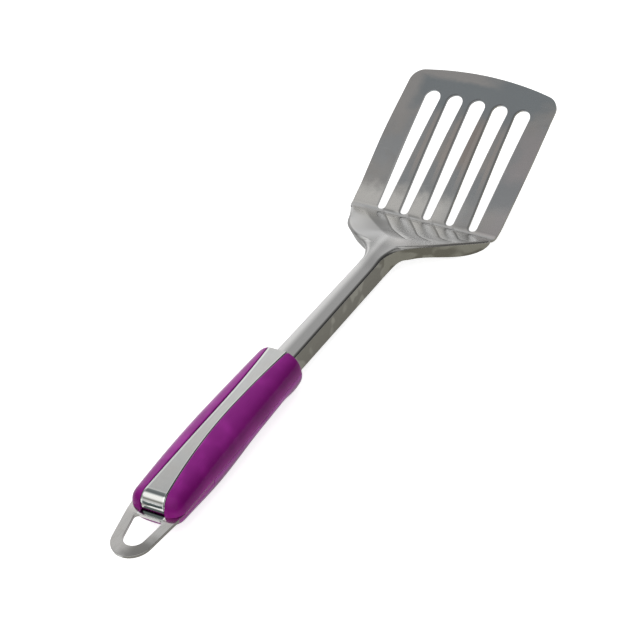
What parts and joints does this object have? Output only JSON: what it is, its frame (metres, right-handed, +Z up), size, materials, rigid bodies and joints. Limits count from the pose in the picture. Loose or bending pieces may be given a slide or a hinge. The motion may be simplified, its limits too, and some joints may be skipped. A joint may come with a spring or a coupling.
{
  "type": "slotted spatula",
  "caption": "Slotted turner with a pitched steel blade, channel shank, two-part plastic grip, metal trim strip and hanging loop.",
  "frame": {"origin": "centre of the bounding box at the table that the spatula rests on", "axes": "+Y runs from the hanging loop to the blade's tip, +Z is up, +X is to the right seen from the grip"},
  "size_m": [0.08, 0.3282, 0.0369],
  "materials": {
    "blade_steel": "polished",
    "loop_steel": "polished",
    "grip_upper": "gloss",
    "grip_lower": "gloss",
    "trim_steel": "satin, polished on its rolled end",
    "screw_zinc": "zinc plated"
  },
  "bodies": {
    "root": {"blade_and_shank": "blade_steel", "hang_loop_plate": "loop_steel", "upper_grip": "grip_upper", "lower_grip": "grip_lower", "trim_strip": "trim_steel", "grip_screw_front": "screw_zinc", "grip_screw_middle": "screw_zinc", "grip_screw_rear": "screw_zinc"}
  },
  "joints": []
}
